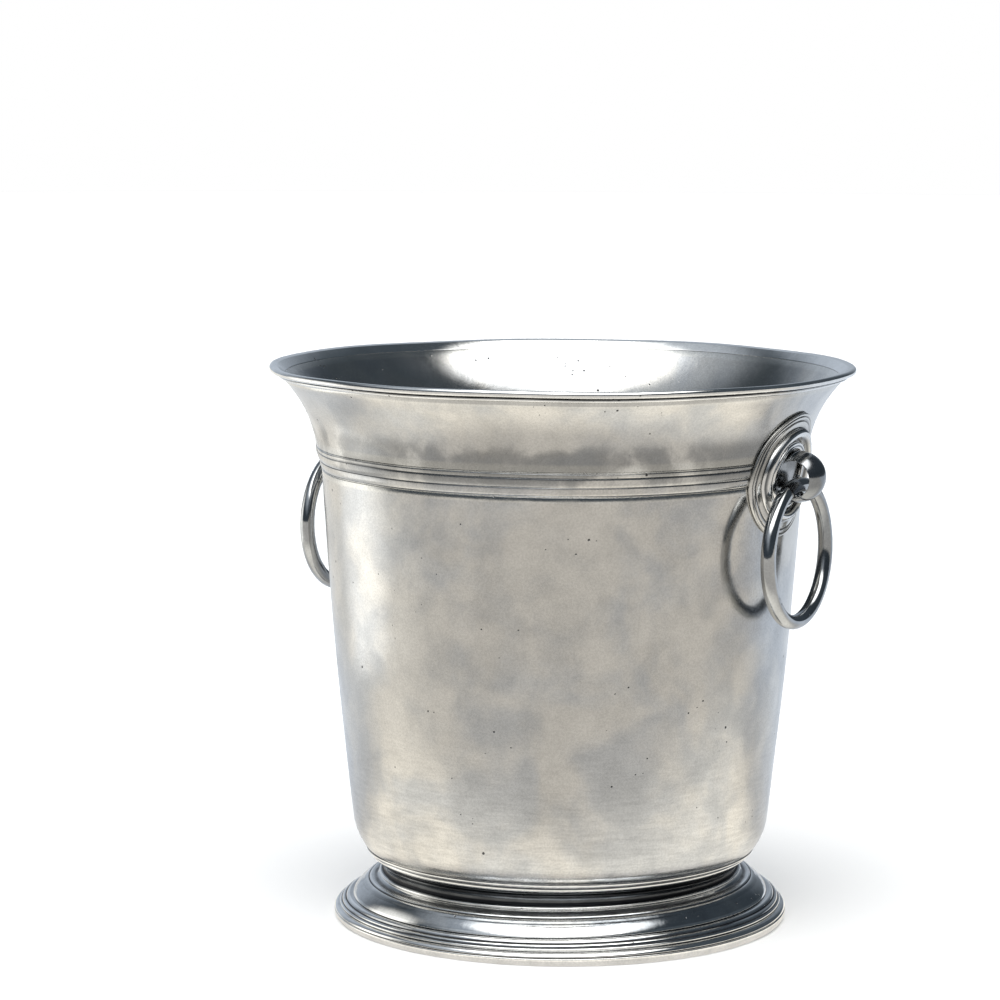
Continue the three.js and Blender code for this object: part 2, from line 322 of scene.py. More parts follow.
def mottle(tree, vector, size, detail=2.0, distortion=0.0):
    """Noise from 0 to 1 whose patches are about size metres across."""
    made = add(tree, "ShaderNodeTexNoise", {
        "Vector": vector, "Scale": 1 / size, "Detail": detail, "Distortion": distortion,
    })
    return made.outputs["Fac"]


def remap(tree, value, start, end, low_to=0.0, high_to=1.0):
    made = add(tree, "ShaderNodeMapRange", {
        "Value": value, "From Min": start, "From Max": end, "To Min": low_to, "To Max": high_to,
    }, interpolation_type="SMOOTHSTEP")
    return made.outputs["Result"]


def maths(tree, operation, first, second=0.0):
    made = add(tree, "ShaderNodeMath", {0: first, 1: second}, operation=operation)
    return made.outputs[0]


def mix_colour(tree, share, first, second):
    made = tree.nodes.new("ShaderNodeMix")
    made.data_type = "RGBA"
    for socket, value in ((made.inputs[0], share), (made.inputs[6], first), (made.inputs[7], second)):
        if isinstance(value, bpy.types.NodeSocket):
            tree.links.new(value, socket)
        else:
            socket.default_value = value
    return made.outputs[2]


# Sizes of the metal's patterns, in metres.
CLOUD_SIZE = 0.042
BLOT_SIZE = 0.016
PATCH_SIZE = 0.006
GRAIN_SIZE = 0.0007
LINE_SIZE = 0.011
LINE_STRETCH = 9
PIT_SPACING = 0.0034
PIT_CROWD_SIZE = 0.024

# Pits: the noise where they begin to gather and are thickest. The rest are shares of a cell or of full dark.
PIT_CROWD = (0.44, 0.66)
PIT_REACH = 0.125
PIT_EDGE = 0.06
PIT_DARKNESS = 0.85

# What most of a noise lies between, and where mixed patterns begin and end.
NOISE_RANGE = (0.3, 0.7)
WARM_TO_COOL = (0.62, 0.98)
DARK_CLOUD_RAGGED = (0.66, 0.98)
AGEING = (0.25, 1.1)

# Depths of the relief, in millimetres.
LINE_DEPTH = 0.05
GRAIN_DEPTH = 0.05
BLOT_DEPTH = 0.14
PATCH_DEPTH = 0.012
PIT_DEPTH = 0.10

# Heights, in metres: where the turning lines begin and are full, and where the dark cloud over the band
# begins, is full, is still full, and ends.
LINED = (0.11, 0.03)
DARK_CLOUD_HEIGHTS = (0.1730, 0.1800, 0.1875, 0.1955)

# How hollow the surface is, in millimetres, where dirt begins and is full. Below 0 it stands proud and wears.
DIRTY = (0.04, 0.15)
WORN = (-0.02, -0.10)

PATINA_COLOUR = (0.02, 0.021, 0.024, 1)
AGED_SHADE = 0.25  # share of its light that the most aged metal gives back


def pewter(name, *, warm, cool, bright, gloss, clouding, grain_depth, streaks, pits, patina, cloud_darkness):
    """Pewter with warm and cool clouds, turning lines and pits.

    It is bright where it stands proud and is worn, and dark with patina where it is hollow.
    """
    material = bpy.data.materials.new(name)
    material.use_nodes = True
    tree = material.node_tree
    shader = tree.nodes["Principled BSDF"]
    shader.inputs["Metallic"].default_value = 1.0
    place = add(tree, "ShaderNodeTexCoord").outputs["Object"]
    turning = add(tree, "ShaderNodeAttribute", attribute_name="turning").outputs["Vector"]
    hollow = add(tree, "ShaderNodeAttribute", attribute_name="hollow").outputs["Fac"]
    age_and_shade = add(tree, "ShaderNodeAttribute", attribute_name="age_and_shade").outputs["Fac"]
    height = add(tree, "ShaderNodeSeparateXYZ", {0: place}).outputs["Z"]

    clouds = mottle(tree, place, CLOUD_SIZE, 3.0, 0.8)
    blots = mottle(tree, place, BLOT_SIZE, 4.0, 0.4)
    patches = mottle(tree, place, PATCH_SIZE, 4.0)
    grain = mottle(tree, place, GRAIN_SIZE, 2.0)
    stretched = add(tree, "ShaderNodeMapping", {"Vector": turning, "Scale": (1, 1, LINE_STRETCH)}).outputs[0]
    lines = mottle(tree, stretched, LINE_SIZE, 5.0)

    # Pits gather in some places and are missing in others.
    cells = add(tree, "ShaderNodeTexVoronoi", {"Vector": place, "Scale": 1 / PIT_SPACING, "Randomness": 1.0})
    crowd = remap(tree, mottle(tree, place, PIT_CROWD_SIZE, 2.0), *PIT_CROWD)
    chance = add(tree, "ShaderNodeSeparateXYZ", {0: cells.outputs["Color"]}).outputs["X"]
    reach = maths(tree, "MULTIPLY", maths(tree, "MULTIPLY", crowd, chance), PIT_REACH * pits)
    inside = maths(tree, "SUBTRACT", reach, cells.outputs["Distance"])
    pit = remap(tree, inside, 0.0, PIT_EDGE, 0.0, PIT_DARKNESS)

    # Patina lies in the grooves, and wear brightens what stands proud of them.
    dirt = remap(tree, maths(tree, "ADD", hollow, maths(tree, "MULTIPLY", patches, 0.06)), *DIRTY)
    dirt = maths(tree, "MULTIPLY", dirt, patina)
    dirt = maths(tree, "MAXIMUM", dirt, pit)
    worn = remap(tree, hollow, *WORN)

    # Warm and cool clouds, cooler where the metal is aged.
    tone = remap(tree, maths(tree, "ADD", clouds, maths(tree, "MULTIPLY", blots, 0.6)), *WARM_TO_COOL)
    tone = maths(tree, "MAXIMUM", tone, maths(tree, "MINIMUM", maths(tree, "MULTIPLY", age_and_shade, 2.0), 1.0))
    colour = mix_colour(tree, tone, (*warm, 1), (*cool, 1))
    colour = mix_colour(tree, worn, colour, (*bright, 1))
    shade = remap(tree, blots, *NOISE_RANGE, 1 + clouding, 1 - clouding)
    for pattern, depth in ((patches, clouding * 0.5), (grain, grain_depth)):
        shade = maths(tree, "MULTIPLY", shade, remap(tree, pattern, *NOISE_RANGE, 1 + depth, 1 - depth))

    # The turning lines show most towards the foot.
    lined = maths(tree, "MULTIPLY", remap(tree, height, *LINED), streaks)
    line_shade = maths(tree, "MULTIPLY", maths(tree, "SUBTRACT", lines, 0.5), lined)
    shade = maths(tree, "ADD", shade, line_shade)

    # The flare is darker in a soft grey ragged cloud, just over the band.
    rising, falling = remap(tree, height, DARK_CLOUD_HEIGHTS[0], DARK_CLOUD_HEIGHTS[1]), remap(tree, height, DARK_CLOUD_HEIGHTS[3], DARK_CLOUD_HEIGHTS[2])
    over_band = maths(tree, "MULTIPLY", rising, falling)
    ragged = maths(tree, "ADD", blots, maths(tree, "MULTIPLY", clouds, 0.8))
    cloud = maths(tree, "MULTIPLY", over_band, remap(tree, ragged, *DARK_CLOUD_RAGGED))
    shade = maths(tree, "MULTIPLY", shade, remap(tree, cloud, 0.0, 1.0, 1.0, 1 - cloud_darkness))

    # Ageing darkens the metal in blots, but not where it is worn; on the foot's neck this darkening is also
    # painted shade of the recess under the heel.
    aged = maths(tree, "ADD", age_and_shade, maths(tree, "MULTIPLY", blots, 0.5))
    aged = maths(tree, "MAXIMUM", remap(tree, aged, *AGEING, 1.0, AGED_SHADE), worn)
    shade = maths(tree, "MULTIPLY", shade, aged)
    shaded = add(tree, "ShaderNodeVectorMath", {0: colour, "Scale": shade}, operation="SCALE").outputs[0]
    final = mix_colour(tree, dirt, shaded, PATINA_COLOUR)
    tree.links.new(final, shader.inputs["Base Color"])

    rough = remap(tree, blots, 0.3, 0.75, gloss * 0.8, gloss * 1.3)
    rough = maths(tree, "ADD", rough, remap(tree, cloud, 0.0, 1.0, 0.0, 0.08))
    rough = maths(tree, "MAXIMUM", rough, maths(tree, "MULTIPLY", dirt, 0.5))
    tree.links.new(rough, shader.inputs["Roughness"])

    relief = maths(tree, "MULTIPLY", maths(tree, "MULTIPLY", lines, lined), LINE_DEPTH)
    for pattern, depth in (
        (grain, GRAIN_DEPTH * grain_depth), (blots, BLOT_DEPTH), (patches, PATCH_DEPTH), (pit, -PIT_DEPTH),
    ):
        relief = maths(tree, "ADD", relief, maths(tree, "MULTIPLY", pattern, depth))
    bump = add(tree, "ShaderNodeBump", {"Height": relief, "Strength": 1.0, "Distance": MM})
    tree.links.new(bump.outputs["Normal"], shader.inputs["Normal"])
    return material


MATERIALS = {
    "burnished_pewter": pewter(
        "burnished_pewter", warm=(0.605, 0.59, 0.56), cool=(0.52, 0.53, 0.54), bright=(0.66, 0.655, 0.63),
        gloss=0.17, clouding=0.06, grain_depth=0.07, streaks=0.5, pits=1.5, patina=0.7, cloud_darkness=0.4,
    ),
    "polished_pewter": pewter(
        "polished_pewter", warm=(0.60, 0.595, 0.58), cool=(0.50, 0.525, 0.55), bright=(0.80, 0.80, 0.79),
        gloss=0.10, clouding=0.06, grain_depth=0.05, streaks=0.25, pits=1.4, patina=1.0, cloud_darkness=0.0,
    ),
}

# ---- bowl ----------------------------------------------------------------------------------------
wall_end, wall_bend = Vector(WALL[2]), Vector(WALL[1])
wall_run = (wall_end - wall_bend).normalized()
HEEL = wall_end + Vector((wall_run.y, -wall_run.x)) * HEEL_RADIUS
HEEL_START = -math.degrees(math.atan2(-wall_run.x, -wall_run.y))
FLOOR_UNDER = HEEL.y - HEEL_RADIUS
FLOOR_TOP = FLOOR_UNDER + WALL_THICKNESS


def rebate(height):
    return skin(height) - BAND_DEPTH - SEAT_GAP


def inset(points, amount):
    return [point - Vector((amount, 0)) for point in points]


turned("bowl_wall_turned", [
    *arc(HEEL, HEEL_RADIUS, -90, HEEL_START),
    *reversed(bezier(WALL)[:-1]),
    Vector((rebate(BAND_BASE), BAND_BASE)),
    Vector((rebate(SEAM), SEAM - SEAT_GAP)),
    Vector((skin(SEAM) - WALL_THICKNESS, SEAM - SEAT_GAP)),
    *inset(bezier(WALL)[:-1], WALL_THICKNESS),
    *arc(HEEL, HEEL_RADIUS - WALL_THICKNESS, HEEL_START, -90),
], "burnished_pewter", "bowl_wall")

flare_run = (Vector(FLARE[2]) - Vector(FLARE[1])).normalized()
FLARE_INNER_END = Vector(FLARE[2]) + Vector((-flare_run.y, flare_run.x)) * FLARE_THICKNESS
flare_inner = (
    FLARE_INNER_END,
    Vector((FLARE[1][0] - WALL_THICKNESS, FLARE[1][1])),
    Vector((FLARE[0][0] - WALL_THICKNESS, FLARE[0][1])),
)
turned("mouth_flare_turned", [
    Vector((skin(SEAM) - WALL_THICKNESS, SEAM + SEAT_GAP)),
    Vector((rebate(SEAM), SEAM + SEAT_GAP)),
    Vector((rebate(BAND_TOP), BAND_TOP)),
    *bezier(FLARE)[:-2],
    Vector(FLARE[2]) + Vector((-0.45, 0.3)),
    *bezier(flare_inner),
], "burnished_pewter", "mouth_flare")

# The lip is thin and rounded, over a reed between two incised lines.
LIP = 1.25
lip_centre = (RIM_RADIUS - LIP, HEIGHT - LIP)
flare_end = Vector(FLARE[2]) + flare_run * SEAT_GAP
turned("rim_bead_turned", [
    flare_end + Vector((-0.25, 0.15)),
    flare_end + Vector((-0.35, 0.4)),
    flare_end + Vector((-0.1, 0.1)),
    *swell((106.75, 208.75), (108.2, 209.7), 0.35),
    Vector((107.75, 210.1)),
    Vector((107.9, 210.5)),
    Vector((109.0, 210.55)),
    *arc(lip_centre, LIP, -75, 100),
    Vector((107.9, HEIGHT - 0.45)),
    FLARE_INNER_END + flare_run * SEAT_GAP,
], "polished_pewter", "rim_bead", softness=0.08, age_and_shade=0.15)


def reeds():
    """The band's outside, from its base up: low rounded reeds between narrow grooves."""
    edges = (BAND_BASE, *GROOVES, BAND_TOP)
    points = []
    for start, end, proud in zip(edges, edges[1:], REEDS_PROUD):
        points.append(Vector((skin(start) - GROOVE_SINK, start)))
        first, last = start + GROOVE_HALF, end - GROOVE_HALF
        points += swell((skin(first), first), (skin(last), last), proud)
        points.append(Vector((skin(last), last)))
    points.append(Vector((skin(BAND_TOP) - GROOVE_SINK, BAND_TOP)))
    return points


turned("reeded_band_turned", [
    Vector((skin(BAND_BASE) - BAND_DEPTH, BAND_BASE)),
    *reeds(),
    Vector((skin(BAND_TOP) - BAND_DEPTH, BAND_TOP)),
], "burnished_pewter", "reeded_band", softness=0.1)

# ---- foot ----------------------------------------------------------------------------------------
NECK_INNER = 66.0
NECK_LIP = 75.0
FOOT_INNER = 77.0
seat_radius = HEEL_RADIUS + SEAT_GAP


def seat_angle(radius):
    return -math.degrees(math.acos((radius - HEEL.x) / seat_radius))


neck_lip = arc(HEEL, seat_radius, seat_angle(NECK_LIP), seat_angle(NECK_LIP), 1)[0]
# The neck's strong darkening is partly patina and partly painted shade of the recess under the bowl's heel.
turned("foot_neck_turned", [
    Vector((NECK_INNER, NECK_BASE)),
    Vector((69.1, NECK_BASE)),
    *swell((69.35, NECK_BASE + 0.1), (69.25, NECK_BASE + 1.3), 0.45),
    Vector((68.5, NECK_BASE + 1.6)),
    *swell((68.2, NECK_BASE + 2.1), (71.1, 23.5), -0.8),
    Vector((71.1, 23.95)),
    *swell((71.9, 24.15), (73.2, 25.6), 0.45),
    Vector((72.6, 26.0)),
    *swell((73.7, 26.15), (neck_lip.x, neck_lip.y - 0.15), 0.4),
    *arc(HEEL, seat_radius, seat_angle(NECK_LIP - 0.2), seat_angle(NECK_INNER)),
], "polished_pewter", "foot_neck", softness=0.08, age_and_shade=0.9)

dome_top = NECK_BASE - SEAT_GAP
turned("foot_dome_turned", [
    Vector((FOOT_INNER, DOME_BASE)),
    Vector((79.6, DOME_BASE)),
    *swell((80.0, DOME_BASE + 0.2), (76.1, 13.5), 0.4),
    *swell((76.1, 13.5), (74.1, 14.95), 0.15),
    Vector((73.7, 14.8)),
    *swell((73.4, 15.2), (72.8, 15.45), 0.1),
    *swell((72.6, 15.45), (69.6, dome_top - 0.1), -0.55),
    Vector((69.3, dome_top)),
    Vector((NECK_INNER, dome_top)),
    Vector((NECK_INNER, 10.8)),
    *swell((71.3, 10.8), (FOOT_INNER, DOME_BASE), -0.5),
], "polished_pewter", "foot_dome", softness=0.12, age_and_shade=0.2)

step_top = DOME_BASE - SEAT_GAP
turned("foot_step_turned", [
    Vector((FOOT_INNER, STEP_BASE)),
    Vector((84.5, STEP_BASE)),
    *swell((84.8, STEP_BASE + 0.1), (84.75, STEP_BASE + 1.15), 0.3),
    Vector((84.3, STEP_BASE + 1.3)),
    *swell((84.1, STEP_BASE + 1.45), (83.1, STEP_BASE + 2.4), 0.3),
    Vector((82.8, STEP_BASE + 2.5)),
    *swell((82.6, STEP_BASE + 2.6), (80.6, step_top - 0.1), 0.5),
    Vector((80.2, step_top)),
    Vector((FOOT_INNER, step_top)),
], "polished_pewter", "foot_step", softness=0.09, age_and_shade=0.25)

base_rim = STEP_BASE - SEAT_GAP
turned("foot_base_turned", [
    Vector((FOOT_INNER + 2, 0)),
    Vector((BASE_RADIUS - 1.9, 0)),
    *swell((BASE_RADIUS - 1.6, 0.05), (BASE_RADIUS - 0.35, 2.85), 0.55),
    Vector((BASE_RADIUS - 0.35, 2.85)),
    Vector((BASE_RADIUS - 1.05, 3.15)),
    *swell((BASE_RADIUS - 0.4, 3.45), (BASE_RADIUS - 2.2, base_rim - 0.15), 0.4),
    Vector((BASE_RADIUS - 2.6, base_rim)),
    Vector((FOOT_INNER, base_rim)),
    Vector((FOOT_INNER, 1.5)),
], "polished_pewter", "foot_base", softness=0.12, age_and_shade=0.25)

# ---- handle mounts -------------------------------------------------------------------------------
SIDES = {"right": 0.0, "left": math.pi}


def on_bowl(side):
    """Lays a turned disc on the bowl: its height becomes distance out, and its plan wraps round the bowl."""
    turn = Matrix.Rotation(SIDES[side], 3, "Z")

    def place(radius, out, angle):
        height = HANDLE_HEIGHT + radius * math.cos(angle)
        round_by = radius * math.sin(angle) / skin(height)
        far = skin(height) + out
        return handmade(turn @ (Vector((far * math.cos(round_by), far * math.sin(round_by), height)) * MM))

    return place


def disc(rings, segments, place, turning_radius):
    """A closed mesh from an open section whose two ends are on the axis."""
    inner = rings[1:-1]
    verts, turning, hollow = ring_points(inner, segments, place, turning_radius)
    for end in (rings[0], rings[-1]):
        verts.append(place(0.0, end[1], 0.0))
        turning.append((0.0, 0.0, end[2] * MM))
        hollow.append(0.0)
    first, last = len(verts) - 2, len(verts) - 1
    top = (len(inner) - 1) * segments
    faces = []
    for j in range(segments):
        k = (j + 1) % segments
        faces += [(first, k, j), (last, top + j, top + k)]
    for i in range(len(inner) - 1):
        faces += strip(i, i + 1, segments)
    return noted_mesh("disc", verts, faces, turning, hollow)


DISC_HOLE = 0.15  # rings nearer the axis than this give way to the point on it


def disc_section(points, softness):
    """Rings for a disc. The half section is mirrored, so that easing it keeps its ends on the axis."""
    mirrored = [Vector((-point.x, point.y)) for point in reversed(points) if point.x > 0]
    rings = finished_section(points + mirrored, softness)
    half = [ring for ring in rings if ring[0] >= DISC_HOLE]
    start = (0.0, points[0].y, 0.0, 0.0)
    end = (0.0, points[-1].y, half[-1][2] + half[-1][0], 0.0)
    return [start, *half, end]


def floor_points():
    radius = high("bowl_floor").x
    return [
        Vector((0, FLOOR_UNDER)), Vector((radius - 0.2, FLOOR_UNDER)), Vector((radius, FLOOR_UNDER + 0.2)),
        Vector((radius, FLOOR_TOP - 0.2)), Vector((radius - 0.2, FLOOR_TOP)), Vector((0, FLOOR_TOP)),
    ]


floor_mesh = disc(disc_section(floor_points(), 0.1), TURN_SEGMENTS, on_axis, 40)
piece("bowl_floor_turned", floor_mesh, "bucket", "polished_pewter", "bowl_floor")


def plate_points():
    """The escutcheon's half section: a thin disc with a turned-down edge and two engraved circles."""
    points = [
        Vector((0, PLATE_BACK)), Vector((PLATE_RADIUS - 1.4, PLATE_BACK)),
        Vector((PLATE_RADIUS - 1.2, PLATE_LIP)), Vector((PLATE_RADIUS - 0.1, PLATE_LIP)),
        Vector((PLATE_RADIUS, PLATE_LIP + 0.2)),
        *swell((PLATE_RADIUS, PLATE_LIP + 0.5), (ENGRAVED[1] + 0.3, PLATE_FACE - 0.35), 0.25),
    ]
    for radius, face in zip(reversed(ENGRAVED), (PLATE_FACE - 0.25, PLATE_FACE)):
        points += [Vector((radius, face - 0.5)), Vector((radius - 0.3, face))]
        points.append(Vector((radius - 1.2, face)))
    points.append(Vector((0, PLATE_FACE)))
    return points


def boss_points():
    back = PLATE_FACE + SEAT_GAP
    return [
        Vector((13.0, back)), Vector((17.8, back)),
        *swell((17.9, back + 0.3), (13.1, back + 0.4), 2.3, 24),
    ]


def collar_points():
    back = PLATE_FACE + SEAT_GAP
    return [
        Vector((9.9, back)), Vector((12.5, back)),
        *swell((12.6, back + 0.6), (11.1, back + 1.5), 0.45),
        *swell((10.9, back + 1.4), (9.9, back + 1.2), 0.2),
    ]


def knob_mesh(side):
    """A domed stud on a short stem, with a wide hole through it, as it comes from the mould."""
    turn = Matrix.Rotation(SIDES[side], 4, "Z")
    back = skin(HANDLE_HEIGHT) + PLATE_FACE
    shape = bmesh.new()
    bmesh.ops.create_uvsphere(
        shape, u_segments=96, v_segments=48, radius=KNOB_RADIUS * MM,
        matrix=Matrix.Translation(Vector((KNOB_CENTRE[0], 0, KNOB_CENTRE[1])) * MM))
    ball = bpy.data.meshes.new("ball")
    shape.to_mesh(ball)
    shape.free()
    parts = {}
    for name, radius, depth, centre, tilt in (
        ("stem", STEM_RADIUS, 7.0, (back + 2.6, 0, KNOB_CENTRE[1]), Matrix.Rotation(math.pi / 2, 4, "Y")),
        ("eye", EYE_RADIUS, 40.0, (EYE_CENTRE[0], 0, EYE_CENTRE[1]), Matrix.Rotation(math.pi / 2, 4, "X")),
        ("behind", 14.0, 10.0, (back - 5.0, 0, KNOB_CENTRE[1]), Matrix.Rotation(math.pi / 2, 4, "Y")),
    ):
        form = bmesh.new()
        bmesh.ops.create_cone(
            form, cap_ends=True, segments=96, radius1=radius * MM, radius2=radius * MM, depth=depth * MM,
            matrix=Matrix.Translation(Vector(centre) * MM) @ tilt)
        mesh = bpy.data.meshes.new(name)
        form.to_mesh(mesh)
        form.free()
        parts[name] = bpy.data.objects.new(name, mesh)
        bpy.context.scene.collection.objects.link(parts[name])
    knob = bpy.data.objects.new("knob", ball)
    bpy.context.scene.collection.objects.link(knob)
    for name, operation in (("stem", "UNION"), ("behind", "DIFFERENCE"), ("eye", "DIFFERENCE")):
        cut = knob.modifiers.new(name, "BOOLEAN")
        cut.object = parts[name]
        cut.operation = operation
        cut.solver = "EXACT"
    remesh = knob.modifiers.new("remesh", "REMESH")
    remesh.mode = "VOXEL"
    remesh.voxel_size = KNOB_VOXEL * MM
    ease = knob.modifiers.new("ease", "SMOOTH")
    ease.factor = 0.5
    ease.iterations = 10
    bpy.context.view_layer.update()
    finished = bpy.data.meshes.new_from_object(knob.evaluated_get(bpy.context.evaluated_depsgraph_get()))
    for spare in (knob, *parts.values()):
        data = spare.data
        bpy.data.objects.remove(spare)
        bpy.data.meshes.remove(data)
    finished.transform(turn)
    for vertex in finished.vertices:
        vertex.co = handmade(vertex.co)
    return finished


# ---- ring ----------------------------------------------------------------------------------------
RING_TURNS = 160
WIRE_TURNS = 32
RING_TURNING_RADIUS = 20.0
UNEVEN = 0.02  # share of the wire's thickness


def ring_mesh(side):
    """The loose ring: a bent and closed round wire, slightly uneven from its casting."""
    lowest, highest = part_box(f"{side}_ring")
    centre = (lowest + highest) / 2
    wire = (highest.x - lowest.x) / 2
    bend = (highest.z - lowest.z) / 2 - wire
    verts, turning = [], []
    for i in range(RING_TURNS):
        around = math.tau * i / RING_TURNS
        spoke = Vector((0, math.sin(around), math.cos(around)))
        thick = wire * (1 + UNEVEN * math.sin(3 * around + 1.3) - UNEVEN)
        for j in range(WIRE_TURNS):
            roll = math.tau * j / WIRE_TURNS
            sideways = Vector((thick * math.sin(roll), 0, 0))
            verts.append(centre + spoke * (bend + thick * math.cos(roll)) + sideways)
            turning.append((
                RING_TURNING_RADIUS * MM * math.cos(around), RING_TURNING_RADIUS * MM * math.sin(around),
                wire * roll,
            ))
    faces = []
    for i in range(RING_TURNS):
        faces += strip(i, (i + 1) % RING_TURNS, WIRE_TURNS)
    return noted_mesh("ring", verts, faces, turning)


def facing_out(mesh):
    """Makes every face of a closed mesh look outward."""
    shape = bmesh.new()
    shape.from_mesh(mesh)
    bmesh.ops.recalc_face_normals(shape, faces=shape.faces)
    shape.to_mesh(mesh)
    shape.free()
    return mesh


for side in SIDES:
    laid = on_bowl(side)
    plate = disc(disc_section(plate_points(), 0.1), MOUNT_SEGMENTS, laid, 15)
    boss = revolved(finished_section(boss_points(), 0.1), MOUNT_SEGMENTS, laid, 15)
    collar = revolved(finished_section(collar_points(), 0.08), MOUNT_SEGMENTS, laid, 11)
    for part, mesh, body, slot, age_and_shade in (
        ("escutcheon", facing_out(plate), "bucket", "burnished_pewter", 0.3),
        ("boss", facing_out(boss), "bucket", "polished_pewter", 0.75),
        ("collar", facing_out(collar), "bucket", "polished_pewter", 0.5),
        ("eye_knob", knob_mesh(side), "bucket", "polished_pewter", 0.4),
        ("ring", facing_out(ring_mesh(side)), f"{side}_handle", "polished_pewter", 0.3),
    ):
        piece(f"{side}_{part}_cast", mesh, body, slot, f"{side}_{part}", age_and_shade)

# ---- studio --------------------------------------------------------------------------------------
CAMERA_AZIMUTH = 27.9
CAMERA_PLACE = (0, -1.4, 0.3422)
CAMERA_LENS = 132.9
LOOK_DOWN = 7.40
LOOK_LEFT = 0.97
ROLL = 0.22

OVERHEAD_LEAN = math.radians(20)  # how far the overhead light leans towards the camera's side
OVERHEAD = (3.6, 3.6, 3.55, 1)
ROOM_DARK = (0.06, 0.075, 0.09, 1)
ROOM_BEHIND = (0.50, 0.56, 0.64, 1)
ROOM_HALO = (0.55, 0.60, 0.66, 1)
FILL = (0.22, 0.22, 0.22)  # added to the room's light on matt surfaces

# What the metal sees of the floor: painted light that glows for glossy rays only, with a painted pool of
# light close by the foot and painted shade just beneath it.
FLOOR_FRONT = (0.72, 0.695, 0.655, 1)
FLOOR_BACK = (0.76, 0.82, 0.90, 1)
FLOOR_LEFT = (0.95, 0.93, 0.88, 1)
FLOOR_CLOSE = (1.28, 1.23, 1.12, 1)
FLOOR_PAINTED_SHADE_UNDER_FOOT = (0.85, 0.82, 0.77, 1)

# Where each of those begins and is full, in metres to the right of, behind or away from the bucket's axis.
FLOOR_BEHIND = (-0.02, 0.3)
FLOOR_LEFTWARD = (-0.12, -0.5)
FLOOR_LEFT_BACK = (-0.4, 0.0)
FLOOR_CLOSE_BY = (0.245, 0.096)
FLOOR_IN_FRONT = (0.10, 0.0)
FLOOR_BENEATH = (0.102, 0.089)
CLOSE_NARROWING = 0.55  # the bright place beside the foot is wider than it is deep by this

# Where each part of the room begins and is full, as parts of a direction of length 1.
ROOM_REAR = (0.5, 0.95)
ROOM_REAR_SIDE = (0.6, -0.2)
HALO_EDGE = (0.40, 0.78)
HALO_SIDE = (0.25, -0.35)
OVERHEAD_EDGE = (0.76, 0.90)

studio = Matrix.Rotation(math.radians(CAMERA_AZIMUTH), 4, "Z")

lens = bpy.data.cameras.new("camera")
lens.lens = CAMERA_LENS
lens.sensor_width = 36.0
lens.clip_start = 0.05
camera = bpy.data.objects.new("camera", lens)
bpy.context.scene.collection.objects.link(camera)
camera.matrix_world = (
    studio
    @ Matrix.Translation(CAMERA_PLACE)
    @ Matrix.Rotation(math.radians(LOOK_LEFT), 4, "Z")
    @ Matrix.Rotation(math.radians(90 - LOOK_DOWN), 4, "X")
    @ Matrix.Rotation(math.radians(ROLL), 4, "Z")
)
bpy.context.scene.camera = camera


def in_studio(tree, vector):
    """The parts of a direction or place, turned so that the camera's side is -Y."""
    turned_to = add(tree, "ShaderNodeVectorRotate", {
        "Vector": vector, "Axis": (0, 0, 1), "Angle": -math.radians(CAMERA_AZIMUTH),
    }, rotation_type="AXIS_ANGLE").outputs[0]
    split = add(tree, "ShaderNodeSeparateXYZ", {0: turned_to})
    return split.outputs["X"], split.outputs["Y"], split.outputs["Z"]


def staged(name, mesh, material):
    """A piece of the studio, which isn't part of the bucket."""
    made = bpy.data.objects.new(name, mesh)
    bpy.context.scene.collection.objects.link(made)
    mesh.materials.append(material)
    return made


def studio_floor():
    """A white floor. Its reflection in the metal is painted light that glows for glossy rays: a warm grey,
    with a painted pool of light by the foot and painted shade beneath it.
    """
    shape = bmesh.new()
    bmesh.ops.create_circle(shape, cap_ends=True, segments=64, radius=6.0)
    mesh = bpy.data.meshes.new("floor")
    shape.to_mesh(mesh)
    shape.free()
    paper = bpy.data.materials.new("paper")
    paper.use_nodes = True
    tree = paper.node_tree
    matt = tree.nodes["Principled BSDF"]
    matt.inputs["Base Color"].default_value = (0.95, 0.95, 0.95, 1)
    matt.inputs["Roughness"].default_value = 0.9
    matt.inputs["Specular IOR Level"].default_value = 0.1
    place = add(tree, "ShaderNodeNewGeometry").outputs["Position"]
    across, back, _ = in_studio(tree, place)
    behind = remap(tree, back, *FLOOR_BEHIND)
    leftward = maths(
        tree, "MULTIPLY", remap(tree, across, *FLOOR_LEFTWARD), remap(tree, back, *FLOOR_LEFT_BACK))
    narrowed = maths(tree, "MULTIPLY", across, CLOSE_NARROWING)
    flat = add(tree, "ShaderNodeCombineXYZ", {"X": narrowed, "Y": back}).outputs[0]
    span = add(tree, "ShaderNodeVectorMath", {0: flat}, operation="LENGTH").outputs["Value"]
    # A painted pool of light on the reflected floor, close beside the foot.
    close = maths(tree, "MULTIPLY", remap(tree, span, *FLOOR_CLOSE_BY), remap(tree, back, *FLOOR_IN_FRONT))
    tone = mix_colour(tree, behind, FLOOR_FRONT, FLOOR_BACK)
    tone = mix_colour(tree, leftward, tone, FLOOR_LEFT)
    tone = mix_colour(tree, close, tone, FLOOR_CLOSE)
    # Painted shade on the reflected floor just beneath the foot.
    under = add(tree, "ShaderNodeVectorMath", {0: place}, operation="LENGTH").outputs["Value"]
    tone = mix_colour(tree, remap(tree, under, *FLOOR_BENEATH), tone, FLOOR_PAINTED_SHADE_UNDER_FOOT)
    glow = add(tree, "ShaderNodeEmission", {"Color": tone}).outputs[0]
    mirrored = add(tree, "ShaderNodeLightPath").outputs["Is Glossy Ray"]
    both = add(tree, "ShaderNodeMixShader", {0: mirrored, 1: matt.outputs[0], 2: glow}).outputs[0]
    tree.links.new(both, tree.nodes["Material Output"].inputs["Surface"])
    staged("studio_floor", mesh, paper)


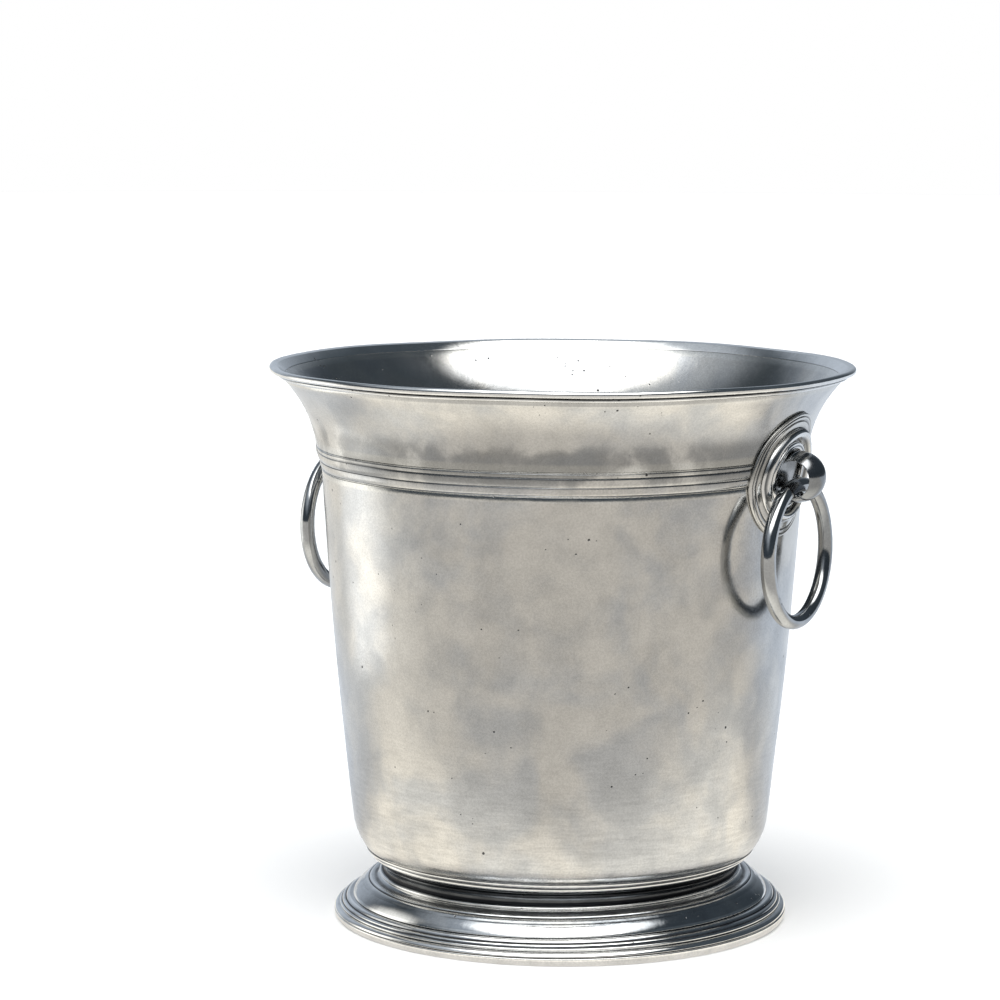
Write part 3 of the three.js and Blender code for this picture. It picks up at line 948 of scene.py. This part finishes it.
def card(name, place, aim, size, brightness, colour):
    """A soft-edged reflector that shows only in the metal. The camera's side is -Y."""
    shape = bmesh.new()
    bmesh.ops.create_grid(shape, x_segments=1, y_segments=1, size=0.5)
    bmesh.ops.scale(shape, vec=(size[0], size[1], 1), verts=shape.verts)
    facing = (Vector(aim) - Vector(place)).to_track_quat("Z", "Y").to_matrix().to_4x4()
    bmesh.ops.transform(shape, matrix=studio @ Matrix.Translation(place) @ facing, verts=shape.verts)
    uv = shape.loops.layers.uv.new("card")
    for face in shape.faces:
        for loop, corner in zip(face.loops, ((0, 0), (1, 0), (1, 1), (0, 1))):
            loop[uv].uv = corner
    mesh = bpy.data.meshes.new(name)
    shape.to_mesh(mesh)
    shape.free()
    material = bpy.data.materials.new(name)
    material.use_nodes = True
    tree = material.node_tree
    tree.nodes.remove(tree.nodes["Principled BSDF"])
    split = add(tree, "ShaderNodeSeparateXYZ", {0: add(tree, "ShaderNodeUVMap", uv_map="card").outputs[0]})
    mask = 1.0
    for socket in ("X", "Y"):
        from_middle = maths(tree, "ABSOLUTE", maths(tree, "SUBTRACT", split.outputs[socket], 0.5))
        from_edge = maths(tree, "SUBTRACT", 0.5, from_middle)
        mask = maths(tree, "MULTIPLY", remap(tree, from_edge, 0.0, 0.4), mask)
    glow = add(tree, "ShaderNodeEmission", {"Color": (*colour, 1), "Strength": brightness}).outputs[0]
    clear = add(tree, "ShaderNodeBsdfTransparent").outputs[0]
    both = add(tree, "ShaderNodeMixShader", {0: mask, 1: clear, 2: glow}).outputs[0]
    tree.links.new(both, tree.nodes["Material Output"].inputs["Surface"])
    made = staged(name, mesh, material)
    made.visible_camera = made.visible_diffuse = made.visible_shadow = made.visible_transmission = False


def studio_world():
    """A dim room, bright overhead and bluish behind the bucket, that is plain white to the camera itself."""
    world = bpy.data.worlds.new("studio")
    bpy.context.scene.world = world
    world.use_nodes = True
    tree = world.node_tree
    across, back, height = in_studio(tree, add(tree, "ShaderNodeTexCoord").outputs["Generated"])
    rear = maths(tree, "MULTIPLY", remap(tree, back, *ROOM_REAR), remap(tree, across, *ROOM_REAR_SIDE))
    base = mix_colour(tree, rear, ROOM_DARK, ROOM_BEHIND)
    towards_light = maths(
        tree, "SUBTRACT", maths(tree, "MULTIPLY", height, math.cos(OVERHEAD_LEAN)),
        maths(tree, "MULTIPLY", back, math.sin(OVERHEAD_LEAN)))
    halo = maths(
        tree, "MULTIPLY", remap(tree, towards_light, *HALO_EDGE), remap(tree, across, *HALO_SIDE))
    base = mix_colour(tree, halo, base, ROOM_HALO)
    room = mix_colour(tree, remap(tree, towards_light, *OVERHEAD_EDGE), base, OVERHEAD)
    path = add(tree, "ShaderNodeLightPath")
    filled = add(tree, "ShaderNodeVectorMath", {0: room, 1: FILL}, operation="ADD").outputs[0]
    shown = mix_colour(tree, path.outputs["Is Diffuse Ray"], room, filled)
    shown = mix_colour(tree, path.outputs["Is Camera Ray"], shown, (1.0, 1.0, 1.0, 1))
    tree.links.new(shown, tree.nodes["Background"].inputs["Color"])


studio_floor()
studio_world()
card(
    "left_card", place=(-0.42, 0.10, 0.10), aim=(0, 0, 0.10), size=(0.38, 0.60), brightness=1.7,
    colour=(1.0, 0.99, 0.95),
)
bpy.context.scene.view_settings.view_transform = "Standard"
